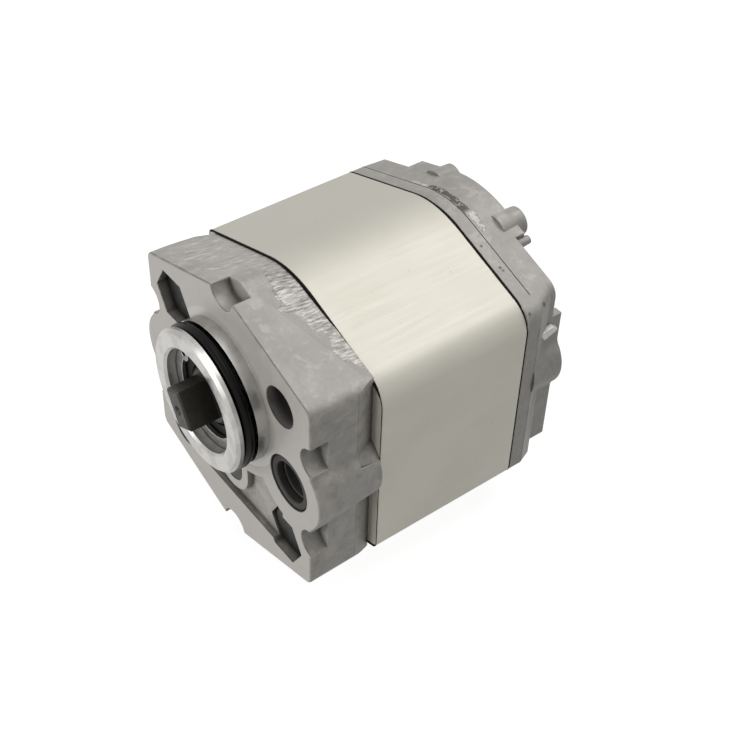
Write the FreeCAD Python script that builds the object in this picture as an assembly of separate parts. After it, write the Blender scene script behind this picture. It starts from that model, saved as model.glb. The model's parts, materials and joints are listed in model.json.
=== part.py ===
import FreeCAD, Part
import math
import os

# External gear pump for a power pack, in millimetres.
# The origin is on the shaft axis, in the plane of the front cover's mounting face.
# +Y runs back through the pump, +Z is up, and the drive tang points along -Y.
# The solids share their sizes, so a change of one value carries its neighbours along.

# Lengths along the shaft axis
cover_depth = 18.3
housing_length = 42.7
rear_plate_depth = 9.0
rear_pad_height = 4.5
band_width = 4.1
pilot_height = 8.7
gear_width = 16.0

# Gear pair
centre_distance = 20.5
teeth = 10
pressure_angle = math.radians(28.0)
addendum_factor = 1.0
dedendum_factor = 1.15
backlash = 0.14
tip_clearance = 0.25
gear_side_clearance = 0.08

# Shafts, bushes and the drive tang
journal_radius = 7.5
journal_clearance = 0.04
bush_wall = 1.1
bush_set_back = 0.3
block_clearance = 0.05
block_end_clearance = 0.1
shaft_end_gap = 1.0
shaft_hole_clearance = 0.6
journal_chamfer = 0.8
tang_length = 8.1
tang_width = 10.0
tang_thickness = 6.0
tang_tilt = 28.0
tang_reach = 4.4
tang_chamfer = 0.4
centre_mark_radius = 1.4

# Outline of the covers and the housing, seen along the axis
slope = math.radians(18.7)
cover_half_width = 33.8
cover_slope_offset = 38.0
cover_apex_radius = 3.0
cover_corner_radius = 2.6
housing_half_width = 35.3
housing_slope_offset = 36.2
housing_apex_radius = 27.0
housing_shoulder_radius = 8.0
housing_corner_radius = 1.8
rear_half_width = 32.7
rear_slope_offset = 37.1
rear_apex_radius = 30.0
rear_shoulder_radius = 4.0
bulge_rise = 3.7
bulge_draft = 1.0
bulge_blend = 3.0
rear_bulge_front_rise = 0.6
rear_bulge_back_rise = 2.8
rear_bulge_z = 3.0
cover_draft = 0.5
milled_seam_drop = 0.4
milled_left_start = 1.5
milled_land_left = 4.5
milled_land_right = 3.0
milled_land_end = 11.0
milled_apex_edge = 9.0
milled_right_start = 6.0
milled_right_edge = 31.0
milled_right_end = 16.0
side_relief_start = 13.0
side_relief_depth = 1.9
face_edge_radius = 0.5
seam_chamfer = 0.3

# Pilot, with its seals
pilot_radius = 18.25
pilot_bore_radius = 13.25
pilot_chamfer = 0.8
bore_chamfer = 0.6
pilot_groove_start = 1.8
pilot_groove_width = 3.8
pilot_groove_depth = 2.9
o_ring_section = 3.05
seal_seat_depth = 2.6
seal_length = 7.0
seal_fit = 0.03
seal_case_wall = 1.1
seal_case_step = 3.4
seal_web = 1.0
ring_thickness = 1.15
ring_groove_width = 1.25
ring_groove_depth = 0.95
ring_width = 2.7
ring_gap = 7.0
ring_play = 0.1
ring_eye_radius = 2.1
ring_eye_hole_radius = 0.9
ring_eye_reach = 1.0
ring_eye_overlap = 0.7
lip_clearance = 0.06
lip_inset = 0.1
lip_profile = [(2.3, 2.2), (2.3, 4.0), (1.6, 4.3), (1.6, 5.4), (0.5, 5.6), (0.0, 4.5),
               (0.7, 2.4), (0.7, 1.6), (0.1, 0.6), (0.4, lip_inset)]
spring_section = 1.3
spring_seat = 1.9
spring_depth = 4.85

# Holes that run through the pump
bolt_x = 22.55
bolt_z = 21.2
mount_x = 22.45
mount_z = 22.1
mount_hole_radius = 5.2
bolt_radius = 4.0
bolt_clearance = 0.3
hexagon_size = 13.0
pocket_clearance = 0.12
head_height = 5.3
head_recess = 2.4
nut_height = 6.4
bolt_overhang = 1.4
bolt_point = 0.8
nut_fit = 0.02
hexagon_chamfer = 0.9
hexagon_inset = 0.2
hexagon_play = 0.1

# Ports and passages
port_x = 25.3
port_counterbore_radius = 7.3
port_counterbore_depth = 2.4
pressure_passage_radius = 4.8
suction_passage_radius = 6.0
cross_passage_radius = 4.6
passage_step = 0.6
port_ring_clearance = 0.15
port_ring_width = 1.85
port_ring_recess = 0.25
port_ring_edge_radius = 0.5
recess_depth = 1.8
recess_floor_line = 26.6
recess_half_width = 17.5
recess_corner_radius = 3.0
pilot_land_width = 5.0
port_land_width = 6.2
mount_land_width = 2.4
tongue_half_width = 7.4
drain_half_width = 4.9
drain_depth = 6.0
drain_reach = 15.6
drain_wall = 1.5

# Scoops along the rim of the mounting face
scoop_radius = 4.5
scoop_depth = 5.0
side_scoop_x = 34.6
side_scoop_z = 13.65
apex_scoop_z = 39.1

# Rear cover details
seat_radius = 8.4
nut_seat_side_x = 22.0
hole_seat_side_x = 17.2
nut_seat_side_z = 22.2
hole_seat_side_z = 19.2
hole_seat_rise = 1.6
nut_pocket_radius = 8.1
nut_pocket_depth = 4.0
boss_radius = 4.0
boss_taper = 0.3
tall_boss_height = 3.0
low_boss_height = 1.5
boss_x = 11.4
boss_z = 32.2
nub_radius = 1.6
nub_taper = 0.5
nub_height = 1.3
nub_x = 17.4
nub_z = 31.0

# Seals between the three castings, and the dowels that line them up
face_seal_path_radius = 14.8
face_seal_width = 2.0
face_seal_depth = 1.6
transfer_seal_radius = 8.2
groove_play = 0.05
dowel_radius = 3.0
dowel_length = 11.0
dowel_x = 24.8
dowel_z = 12.6
dowel_fit = 0.02
dowel_end_gap = 0.5
dowel_chamfer = 0.5
block_groove_path_radius = 10.55
block_seal_width = 1.35
back_up_width = 0.55
block_groove_depth = 1.9
block_seal_opening = 9.0
relief_width = 4.6
relief_height = 5.2
relief_depth = 1.0
relief_offset = 1.5

# Sizes that follow from those above
cutter_reach = 1.4 * housing_half_width
face_centre_z = -centre_distance / 2
driven_z = -centre_distance
module = centre_distance / teeth
pitch_radius = centre_distance / 2
base_radius = pitch_radius * math.cos(pressure_angle)
tip_radius = pitch_radius + addendum_factor * module
root_radius = pitch_radius - dedendum_factor * module
chamber_radius = tip_radius + tip_clearance
housing_front = cover_depth
housing_back = housing_front + housing_length
rear_plate_back = housing_back + rear_plate_depth
rear_pad_back = rear_plate_back + rear_pad_height
nut_seat = rear_plate_back - nut_pocket_depth
pilot_front = -pilot_height
gear_front = housing_front + (housing_length - gear_width) / 2
gear_back = gear_front + gear_width
gear_middle = (gear_front + gear_back) / 2
bush_radius = journal_radius + journal_clearance + bush_wall
o_ring_radius = pilot_radius - pilot_groove_depth + o_ring_section / 2
seal_back = seal_seat_depth
seal_front = seal_back - seal_length
ring_back = seal_front - ring_play
ring_front = ring_back - ring_thickness
tang_end = pilot_front - tang_reach
shaft_nose = tang_end + tang_length
head_seat = head_recess + head_height


def point(x, y, z):
    return FreeCAD.Vector(x, y, z)


def rod(radius, start, end, x=0.0, z=0.0):
    """A round bar along the shaft axis, from one depth to another."""
    return Part.makeCylinder(radius, end - start, point(x, start, z), point(0, 1, 0))


def tube(outer, inner, start, end, x=0.0, z=0.0):
    """A round bar with a plain hole."""
    return rod(outer, start, end, x, z).cut(rod(inner, start, end, x, z))


def cone(start_radius, end_radius, start, end, x=0.0, z=0.0):
    """A round taper along the shaft axis."""
    return Part.makeCone(start_radius, end_radius, end - start, point(x, start, z), point(0, 1, 0))


def block(low, high):
    """A box between two corners."""
    size = [high[i] - low[i] for i in range(3)]
    return Part.makeBox(size[0], size[1], size[2], point(*low))


def fused(shapes):
    """One shape from several that touch."""
    first = shapes[0]
    return first.multiFuse(shapes[1:]) if len(shapes) > 1 else first


def turned(profile, x=0.0, z=0.0):
    """A body of revolution about the shaft axis, from (radius, depth) corners."""
    corners = [point(x + radius, depth, z) for radius, depth in profile]
    face = Part.Face(Part.makePolygon(corners + [corners[0]]))
    return face.revolve(point(x, 0, z), point(0, 1, 0), 360)


def hexagon_bar(size, start, end, x, z):
    """A hexagonal bar with two flats level, from its size across flats."""
    corner = size / math.sqrt(3)
    corners = []
    for step in range(7):
        angle = math.radians(60 * step)
        corners.append(point(x + corner * math.cos(angle), start, z + corner * math.sin(angle)))
    return Part.Face(Part.makePolygon(corners)).extrude(point(0, end - start, 0))


def rounded_corner(before, corner, after, radius):
    """The start, middle and end of the arc that rounds one corner of an outline."""
    inward = [before[0] - corner[0], before[1] - corner[1]]
    onward = [after[0] - corner[0], after[1] - corner[1]]
    inward_length = math.hypot(*inward)
    onward_length = math.hypot(*onward)
    inward = [value / inward_length for value in inward]
    onward = [value / onward_length for value in onward]
    half = math.acos(inward[0] * onward[0] + inward[1] * onward[1]) / 2
    reach = radius / math.tan(half)
    start = (corner[0] + inward[0] * reach, corner[1] + inward[1] * reach)
    end = (corner[0] + onward[0] * reach, corner[1] + onward[1] * reach)
    bisector = [inward[0] + onward[0], inward[1] + onward[1]]
    length = math.hypot(*bisector)
    depth = radius / math.sin(half) - radius
    middle = (corner[0] + bisector[0] / length * depth, corner[1] + bisector[1] / length * depth)
    return start, middle, end


def bulge_arcs(half_width, rise, blend, centre_z=0.0):
    """Blend, bulge and blend on the right side, from below to above.

    The bulge is round about the port and stands out from the side by its rise.
    """
    centre_x = port_x
    radius = half_width - centre_x + rise
    step = half_width + blend - centre_x
    height = math.sqrt((radius + blend) ** 2 - step ** 2)
    share = radius / (radius + blend)
    touch = (centre_x + step * share, height * share)
    blend_middle_angle = math.pi + math.atan2(height, step) / 2
    blend_middle = (half_width + blend + blend * math.cos(blend_middle_angle),
                    height + blend * math.sin(blend_middle_angle))
    lower = [(half_width, -height), (blend_middle[0], -blend_middle[1]), (touch[0], -touch[1])]
    middle = [lower[2], (centre_x + radius, 0.0), touch]
    upper = [touch, blend_middle, (half_width, height)]
    return [[(x, z + centre_z) for x, z in arc] for arc in (lower, middle, upper)]


def outline(depth, half_width, offset, apex_radius, wide_radius, tight_radius, bulge=None):
    """A closed wire: six sides, with a shallow V at top and bottom and rounded corners.

    It looks the same after half a turn. The wide radius rounds the upper right and the
    lower left corner, and the tight one the other two.
    """
    apex = offset / math.cos(slope)
    shoulder = apex - half_width * math.tan(slope)
    top = rounded_corner((half_width, 0), (half_width, shoulder), (0, apex), wide_radius)
    foot = rounded_corner((0, -apex), (half_width, -shoulder), (half_width, 0), tight_radius)
    crown = rounded_corner((half_width, shoulder), (0, apex), (-half_width, shoulder), apex_radius)
    side = bulge_arcs(*bulge) if bulge else []
    stations = [[(-crown[2][0], -crown[2][1]), foot[0]], list(foot)]
    last = foot[2]
    for arc in side:
        if arc is side[0]:
            stations.append([last, arc[0]])
        stations.append(arc)
        last = arc[2]
    stations += [[last, top[0]], list(top), [top[2], crown[0]]]
    stations.append(list(crown))
    whole = stations + [[(-x, -z) for x, z in part] for part in stations]
    edges = []
    for part in whole:
        places = [point(x, depth, z + face_centre_z) for x, z in part]
        if len(places) == 2:
            edges.append(Part.LineSegment(places[0], places[1]).toShape())
        else:
            edges.append(Part.Arc(places[0], places[1], places[2]).toShape())
    return Part.Wire(edges)


def prism(wire, length):
    """The solid that a flat outline sweeps along the shaft axis."""
    return Part.Face(wire).extrude(point(0, length, 0))


def tapered(front_wire, back_wire):
    """The solid between two outlines with matching sides."""
    return Part.makeLoft([front_wire, back_wire], True, True)


def seam_eased(body, depth):
    """The body with a small chamfer round its end at one depth."""
    rim = [edge for edge in body.Edges
           if abs(edge.BoundBox.YMin - depth) < 0.01 and abs(edge.BoundBox.YMax - depth) < 0.01]
    return body.makeChamfer(seam_chamfer, rim)


def stadium(radius, start, end):
    """The rounded bar around both gear axes."""
    sides = block((-radius, start, driven_z), (radius, end, 0))
    return fused([rod(radius, start, end), rod(radius, start, end, 0, driven_z), sides])


def figure_eight(radius, start, end):
    """Two overlapping bars, one on each gear axis."""
    return rod(radius, start, end).fuse(rod(radius, start, end, 0, driven_z))


def involute_point(radius, side, lean, angle):
    """A place on a tooth flank, from its radius and the tooth's own angle."""
    roll = math.acos(base_radius / radius)
    swing = lean - (math.tan(roll) - roll)
    return (radius * math.cos(angle + side * swing), radius * math.sin(angle + side * swing))


def gear(centre_z, first_angle):
    """A spur gear with involute teeth."""
    pressure_lean = math.tan(pressure_angle) - pressure_angle
    half_tooth = math.pi / (2 * teeth) - backlash / (4 * pitch_radius)
    lean = half_tooth + pressure_lean
    steps = 5
    radii = [base_radius + (tip_radius - base_radius) * i / (steps - 1) for i in range(steps)]

    def place(x_z):
        return point(x_z[0], gear_front, centre_z + x_z[1])

    edges = []
    for tooth in range(teeth):
        angle = first_angle + 2 * math.pi * tooth / teeth
        rising = [place(involute_point(radius, -1, lean, angle)) for radius in radii]
        falling = [place(involute_point(radius, 1, lean, angle)) for radius in reversed(radii)]
        for flank in (rising, falling):
            curve = Part.BSplineCurve()
            curve.interpolate(flank)
            edges.append(curve.toShape())
        tip = (tip_radius * math.cos(angle), tip_radius * math.sin(angle))
        edges.append(Part.Arc(rising[-1], place(tip), falling[0]).toShape())
        start_angle = angle + lean
        end_angle = angle + 2 * math.pi / teeth - lean
        middle = (start_angle + end_angle) / 2
        foot_start = place((root_radius * math.cos(start_angle), root_radius * math.sin(start_angle)))
        foot_end = place((root_radius * math.cos(end_angle), root_radius * math.sin(end_angle)))
        foot_middle = place((root_radius * math.cos(middle), root_radius * math.sin(middle)))
        next_start = place((base_radius * math.cos(end_angle), base_radius * math.sin(end_angle)))
        edges.append(Part.LineSegment(falling[-1], foot_start).toShape())
        edges.append(Part.Arc(foot_start, foot_middle, foot_end).toShape())
        edges.append(Part.LineSegment(foot_end, next_start).toShape())
    wire = Part.Wire(Part.__sortEdges__(edges))
    return Part.Face(wire).extrude(point(0, gear_width, 0))


def journal(start, end, z, chamfers):
    """A shaft end with chamfered rims at the depths named."""
    bar = rod(journal_radius, start, end, 0, z)
    for depth in chamfers:
        inner = journal_radius - journal_chamfer
        if depth == start:
            keep = cone(inner, journal_radius, start, start + journal_chamfer, 0, z)
            rim = rod(journal_radius, start, start + journal_chamfer, 0, z).cut(keep)
        else:
            keep = cone(journal_radius, inner, end - journal_chamfer, end, 0, z)
            rim = rod(journal_radius, end - journal_chamfer, end, 0, z).cut(keep)
        bar = bar.cut(rim)
    return bar


def each_corner(x, z):
    """The four places that mirror one corner about the face's centre."""
    return [(sx * x, face_centre_z + sz * z) for sx in (-1, 1) for sz in (-1, 1)]


def bolt_places():
    return [(-bolt_x, face_centre_z + bolt_z), (bolt_x, face_centre_z - bolt_z)]


def mount_places():
    return [(mount_x, face_centre_z + mount_z), (-mount_x, face_centre_z - mount_z)]


def dowel_places():
    return [(dowel_x, face_centre_z + dowel_z), (-dowel_x, face_centre_z - dowel_z)]


def face_seal(start, width, play):
    """The seal, or with play its groove, around the chamber at one depth."""
    half = width / 2 + play
    end = start + face_seal_depth
    return stadium(face_seal_path_radius + half, start, end).cut(
        stadium(face_seal_path_radius - half, start, end))


def transfer_seals(start, width, play):
    """The two small seals, or their grooves, around the passages through a seam."""
    half = width / 2 + play
    end = start + face_seal_depth
    rings = []
    for x in (-port_x, port_x):
        rings.append(tube(transfer_seal_radius + half, transfer_seal_radius - half, start, end,
                          x, face_centre_z))
    return rings


def slope_point(x, depth, offset):
    """The place at x and depth on a right-hand slope with this offset from the face's centre."""
    return point(x, depth, face_centre_z + (offset - x * math.sin(slope)) / math.cos(slope))


def right_cut():
    """What the cutter takes off the upper right V side: all above one slightly tilted plane.

    The plane meets the cast side in a line that runs from beside the apex to the corner.
    """
    places = [(milled_apex_edge, cover_depth, housing_slope_offset - milled_seam_drop)]
    for x, depth in ((milled_land_right, milled_right_start), (milled_right_edge, milled_right_end)):
        places.append((x, depth, cover_slope_offset - cover_draft * depth / cover_depth))
    first, second, third = [slope_point(*place) for place in places]
    normal = (second - first).cross(third - first)

    def above(x, depth):
        drop = normal.x * (x - first.x) + normal.y * (depth - first.y)
        return point(x, depth, first.z - drop / normal.z)

    corners = [above(milled_land_right, 0), above(cutter_reach, 0), above(cutter_reach, cover_depth),
               above(milled_land_right, cover_depth)]
    return Part.Face(Part.makePolygon(corners + [corners[0]])).extrude(point(0, 0, cutter_reach))


def milled_waste():
    """What the cutter takes off the front cover's upper V sides beside the seam.

    On the left and at the apex it follows the housing's outline at the seam. A land beside the
    apex pocket stays as cast.
    """
    corner = housing_corner_radius
    seam = outline(cover_depth, cutter_reach, housing_slope_offset - milled_seam_drop,
                   housing_apex_radius, corner, corner)
    start = outline(milled_left_start, cutter_reach, cover_slope_offset, cover_apex_radius,
                    corner, corner)
    kept = tapered(start, seam)
    top = face_centre_z + cutter_reach
    left = block((-cutter_reach, milled_left_start, face_centre_z),
                 (-milled_land_left, cover_depth, top))
    apex = block((-milled_land_left, milled_land_end, face_centre_z),
                 (milled_apex_edge, cover_depth, top))
    return left.fuse(apex).cut(kept).fuse(right_cut())


def side_relief(side):
    """The sloping hollow along one side of the front cover, beside the seam."""
    surface = side * cover_half_width
    floor = side * (cover_half_width - side_relief_depth)
    outside = side * housing_half_width
    bottom = face_centre_z - cutter_reach
    corners = [point(surface, side_relief_start, bottom), point(outside, side_relief_start, bottom),
               point(outside, cover_depth, bottom), point(floor, cover_depth, bottom)]
    wedge = Part.Face(Part.makePolygon(corners + [corners[0]]))
    wedge = wedge.extrude(point(0, 0, 2 * cutter_reach))
    bulge = rod(cover_half_width - port_x + bulge_rise - bulge_draft, side_relief_start,
                cover_depth, side * port_x, face_centre_z)
    return wedge.cut(bulge)


def suction_recess():
    """The shallow pocket below the pilot, left round the pilot, the port and the drain."""
    bottom = face_centre_z - recess_floor_line
    top = face_centre_z
    pocket = block((-recess_half_width, 0, bottom), (bolt_x, recess_depth, top))
    corner = rod(recess_corner_radius, 0, recess_depth, -recess_half_width + recess_corner_radius,
                 bottom + recess_corner_radius)
    square = block((-recess_half_width, 0, bottom),
                   (-recess_half_width + recess_corner_radius, recess_depth,
                    bottom + recess_corner_radius))
    pocket = pocket.cut(square).fuse(corner)
    lands = [rod(pilot_radius + pilot_land_width, 0, recess_depth)]
    for x in (-port_x, port_x):
        lands.append(rod(port_counterbore_radius + port_land_width, 0, recess_depth,
                         x, face_centre_z))
    for x, z in mount_places():
        lands.append(rod(mount_hole_radius + mount_land_width, 0, recess_depth, x, z))
    tongue_end = face_centre_z - drain_reach - (tongue_half_width - drain_half_width)
    round_z = face_centre_z - drain_reach
    lands.append(block((-tongue_half_width, 0, round_z), (tongue_half_width, recess_depth, 0)))
    lands.append(rod(tongue_half_width, 0, recess_depth, 0, round_z))
    return pocket.cut(fused(lands))


def front_cover():
    front = outline(0, cover_half_width, cover_slope_offset, cover_apex_radius,
                    cover_corner_radius, cover_corner_radius,
                    (cover_half_width, bulge_rise, bulge_blend))
    back = outline(cover_depth, cover_half_width, cover_slope_offset - cover_draft, cover_apex_radius,
                   cover_corner_radius, cover_corner_radius,
                   (cover_half_width, bulge_rise - bulge_draft, bulge_blend))
    body = tapered(front, back)
    rim = [edge for edge in body.Edges if edge.BoundBox.YMax < 0.01]
    body = body.makeFillet(face_edge_radius, rim)
    scoops = [rod(scoop_radius, -1, scoop_depth, x, z) for x, z in
              each_corner(side_scoop_x, side_scoop_z)]
    for side in (-1, 1):
        scoops.append(rod(scoop_radius, -1, scoop_depth, 0, face_centre_z + side * apex_scoop_z))
    body = body.cut(fused(scoops)).cut(milled_waste())
    for side in (-1, 1):
        body = body.cut(side_relief(side))

    pilot = turned([(0, 1), (pilot_radius, 1), (pilot_radius, pilot_front + pilot_chamfer),
                    (pilot_radius - pilot_chamfer, pilot_front), (0, pilot_front)])
    body = body.fuse(pilot)

    groove_front = pilot_front + pilot_groove_start
    groove_floor = pilot_radius - pilot_groove_depth
    hollow = [
        tube(pilot_radius + 1, groove_floor, groove_front, groove_front + pilot_groove_width),
        rod(pilot_bore_radius, pilot_front, seal_seat_depth),
        cone(pilot_bore_radius + bore_chamfer, pilot_bore_radius, pilot_front,
             pilot_front + bore_chamfer),
        rod(pilot_bore_radius + ring_groove_depth, ring_back - ring_groove_width, ring_back),
        rod(journal_radius + shaft_hole_clearance, seal_seat_depth, cover_depth),
        rod(journal_radius + shaft_hole_clearance, cover_depth - shaft_end_gap, cover_depth,
            0, driven_z),
        suction_recess(),
        fused([block((-drain_half_width, 0, face_centre_z - drain_reach),
                     (drain_half_width, drain_depth, -pilot_bore_radius - drain_wall)),
               rod(drain_half_width, 0, drain_depth, 0, face_centre_z - drain_reach)]),
        rod(port_counterbore_radius, 0, port_counterbore_depth, port_x, face_centre_z),
        rod(pressure_passage_radius, 0, cover_depth, port_x, face_centre_z),
        rod(suction_passage_radius, 0, cover_depth, -port_x, face_centre_z),
        face_seal(cover_depth - face_seal_depth, face_seal_width, groove_play),
    ]
    hollow += transfer_seals(cover_depth - face_seal_depth, face_seal_width, groove_play)
    for x, z in bolt_places():
        hollow.append(hexagon_bar(hexagon_size + 2 * pocket_clearance, 0, head_seat, x, z))
        hollow.append(rod(bolt_radius + bolt_clearance, 0, cover_depth, x, z))
    for x, z in mount_places():
        hollow.append(rod(mount_hole_radius, 0, cover_depth, x, z))
    for x, z in dowel_places():
        hollow.append(rod(dowel_radius + dowel_fit, cover_depth - dowel_length / 2 - dowel_end_gap,
                          cover_depth, x, z))
    for tool in hollow:
        body = body.cut(tool)
    return body


def gear_housing():
    body = prism(outline(housing_front, housing_half_width, housing_slope_offset,
                         housing_apex_radius, housing_shoulder_radius, housing_corner_radius),
                 housing_length)
    body = seam_eased(body, housing_front)
    body = seam_eased(body, housing_back)
    hollow = [figure_eight(chamber_radius, housing_front, housing_back)]
    passage_end = gear_middle + cross_passage_radius + passage_step
    hollow.append(rod(pressure_passage_radius + passage_step, housing_front, passage_end,
                      port_x, face_centre_z))
    hollow.append(rod(suction_passage_radius + passage_step, housing_front, passage_end,
                      -port_x, face_centre_z))
    hollow.append(Part.makeCylinder(cross_passage_radius, 2 * port_x,
                                    point(-port_x, gear_middle, face_centre_z), point(1, 0, 0)))
    for x, z in bolt_places():
        hollow.append(rod(bolt_radius + bolt_clearance, housing_front, housing_back, x, z))
    for x, z in mount_places():
        hollow.append(rod(mount_hole_radius, housing_front, housing_back, x, z))
    half = dowel_length / 2 + dowel_end_gap
    for x, z in dowel_places():
        hollow.append(rod(dowel_radius + dowel_fit, housing_front, housing_front + half, x, z))
        hollow.append(rod(dowel_radius + dowel_fit, housing_back - half, housing_back, x, z))
    for tool in hollow:
        body = body.cut(tool)
    return body


def rear_rim(depth, half_width, offset, apex_radius, rise):
    """The rear cover's cast rim at one depth."""
    return outline(depth, half_width, offset, apex_radius, rear_shoulder_radius,
                   housing_corner_radius, (half_width, rise, bulge_blend, rear_bulge_z))


def corner_seats():
    """What is hollow at the pad's corners: low seats for the nuts, higher ones at the holes."""
    seats = []
    for x, z in each_corner(bolt_x, (bolt_z + mount_z) / 2):
        side = math.copysign(1, x)
        level = math.copysign(1, z - face_centre_z)
        at_nut = side * level < 0
        start = rear_plate_back if at_nut else rear_plate_back + hole_seat_rise
        side_x = nut_seat_side_x if at_nut else hole_seat_side_x
        side_z = nut_seat_side_z if at_nut else hole_seat_side_z
        seats.append(rod(seat_radius, start, rear_pad_back + 1, x, z))
        xs = sorted((side * side_x, side * cutter_reach))
        zs = sorted((face_centre_z + level * side_z, face_centre_z + level * cutter_reach))
        seats.append(block((xs[0], start, zs[0]), (xs[1], rear_pad_back + 1, zs[1])))
    return fused(seats)


def rear_cover():
    band = prism(outline(housing_back, housing_half_width, housing_slope_offset,
                         housing_apex_radius, rear_shoulder_radius, housing_corner_radius),
                 band_width)
    band = seam_eased(band, housing_back)
    plate = tapered(rear_rim(housing_back + band_width, housing_half_width, housing_slope_offset,
                             housing_apex_radius, rear_bulge_front_rise),
                    rear_rim(rear_plate_back, rear_half_width, rear_slope_offset,
                             rear_apex_radius, rear_bulge_back_rise))
    pad = prism(rear_rim(rear_plate_back, rear_half_width, rear_slope_offset, rear_apex_radius,
                         rear_bulge_back_rise), rear_pad_height)
    pad = pad.cut(corner_seats())
    bosses = []
    for x, height in ((boss_x, tall_boss_height), (-boss_x, low_boss_height)):
        bosses.append(cone(boss_radius, boss_radius - boss_taper, rear_plate_back,
                           rear_pad_back + height, x, face_centre_z + boss_z))
    nub = cone(nub_radius, nub_radius - nub_taper, rear_plate_back, rear_pad_back + nub_height,
               nub_x, face_centre_z + nub_z)
    body = fused([band, plate, pad, nub] + bosses)
    hollow = [face_seal(housing_back, face_seal_width, groove_play)]
    for z in (0, driven_z):
        hollow.append(rod(journal_radius + shaft_hole_clearance, housing_back,
                          housing_back + shaft_end_gap, 0, z))
    for x, z in bolt_places():
        hollow.append(rod(bolt_radius + bolt_clearance, housing_back, rear_pad_back, x, z))
        hollow.append(rod(nut_pocket_radius, nut_seat, rear_pad_back, x, z))
    for x, z in mount_places():
        hollow.append(rod(mount_hole_radius, housing_back, rear_pad_back, x, z))
    half = dowel_length / 2 + dowel_end_gap
    for x, z in dowel_places():
        hollow.append(rod(dowel_radius + dowel_fit, housing_back, housing_back + half, x, z))
    for tool in hollow:
        body = body.cut(tool)
    return body


def drive_gear_shaft():
    bar = journal(shaft_nose, housing_back - shaft_end_gap, 0, (shaft_nose,
                                                             housing_back - shaft_end_gap))
    half_width = tang_width / 2
    half_thickness = tang_thickness / 2
    tang = block((-half_thickness, tang_end, -half_width),
                 (half_thickness, shaft_nose + 1, half_width))
    nose_edges = [edge for edge in tang.Edges if edge.BoundBox.YMax < tang_end + 0.01]
    tang = tang.makeChamfer(tang_chamfer, nose_edges)
    mark = cone(centre_mark_radius, 0.1, tang_end, tang_end + centre_mark_radius)
    tang = tang.cut(mark)
    tang.rotate(point(0, 0, 0), point(0, 1, 0), -tang_tilt)
    return fused([bar, gear(0, -math.pi / 2), tang])


def driven_gear_shaft():
    start = housing_front + shaft_end_gap
    end = housing_back - shaft_end_gap
    bar = journal(start, end, driven_z, (start, end))
    return bar.fuse(gear(driven_z, math.pi / 2 + math.pi / teeth))


def block_groove_region(start, end, inner, outer):
    """A band that follows the block's waist, open on the suction side."""
    band = figure_eight(outer, start, end).cut(figure_eight(inner, start, end))
    gap = block((-chamber_radius - 1, start, face_centre_z - block_seal_opening / 2),
                (0, end, face_centre_z + block_seal_opening / 2))
    return band.cut(gap)


def block_groove_limits():
    half = (block_seal_width + back_up_width) / 2
    return block_groove_path_radius - half, block_groove_path_radius + half


def bearing_block(outer_face, inner_face):
    """A two-lobed block that carries both shafts and seals the gears' side."""
    start, end = sorted((outer_face, inner_face))
    body = figure_eight(chamber_radius - block_clearance, start, end)
    for z in (0, driven_z):
        body = body.cut(rod(bush_radius, start, end, 0, z))
    toward_gears = 1 if inner_face > outer_face else -1
    groove_end = outer_face + toward_gears * block_groove_depth
    low, high = sorted((outer_face, groove_end))
    inner, outer = block_groove_limits()
    body = body.cut(block_groove_region(low, high, inner - groove_play, outer + groove_play))
    relief_end = inner_face - toward_gears * relief_depth
    low, high = sorted((inner_face, relief_end))
    for side in (-1, 1):
        xs = sorted((side * relief_offset, side * (relief_offset + relief_width)))
        body = body.cut(block((xs[0], low, face_centre_z - relief_height / 2),
                              (xs[1], high, face_centre_z + relief_height / 2)))
    return body


def bearing_bush(outer_face, inner_face, z):
    start, end = sorted((outer_face, inner_face))
    toward_gears = 1 if inner_face > outer_face else -1
    low = start + (bush_set_back if toward_gears < 0 else 0)
    high = end - (bush_set_back if toward_gears > 0 else 0)
    return tube(bush_radius, journal_radius + journal_clearance, low, high, 0, z)


def block_seal(outer_face, inner_face):
    toward_gears = 1 if inner_face > outer_face else -1
    low, high = sorted((outer_face, outer_face + toward_gears * block_groove_depth))
    inner, outer = block_groove_limits()
    return block_groove_region(low, high, inner, inner + block_seal_width - groove_play)


def block_back_up(outer_face, inner_face):
    toward_gears = 1 if inner_face > outer_face else -1
    low, high = sorted((outer_face, outer_face + toward_gears * block_groove_depth))
    inner, outer = block_groove_limits()
    return block_groove_region(low, high, outer - back_up_width, outer)


def shaft_seal_case():
    outer = pilot_bore_radius - seal_fit
    inner = outer - seal_case_step
    wall = outer - seal_case_wall
    floor = seal_back - seal_case_wall
    return turned([(outer, seal_front), (outer, seal_back), (inner, seal_back), (inner, floor),
                   (wall, floor), (wall, seal_front)])


def shaft_seal_lip():
    """The seal's rubber: a web inside the case, and a lip that leans on the shaft."""
    outer = pilot_bore_radius - seal_fit - seal_case_wall
    lip = journal_radius + lip_clearance
    front = seal_front
    floor = seal_back - seal_case_wall
    web = [(outer, front + lip_inset), (outer, floor), (outer - seal_web, floor),
           (outer - seal_web, front + lip_profile[0][1])]
    return turned(web + [(lip + rise, front + depth) for rise, depth in lip_profile])


def shaft_seal_spring():
    radius = journal_radius + lip_clearance + spring_seat + spring_section / 2
    return Part.makeTorus(radius, spring_section / 2, point(0, seal_front + spring_depth, 0),
                          point(0, 1, 0))


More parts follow.
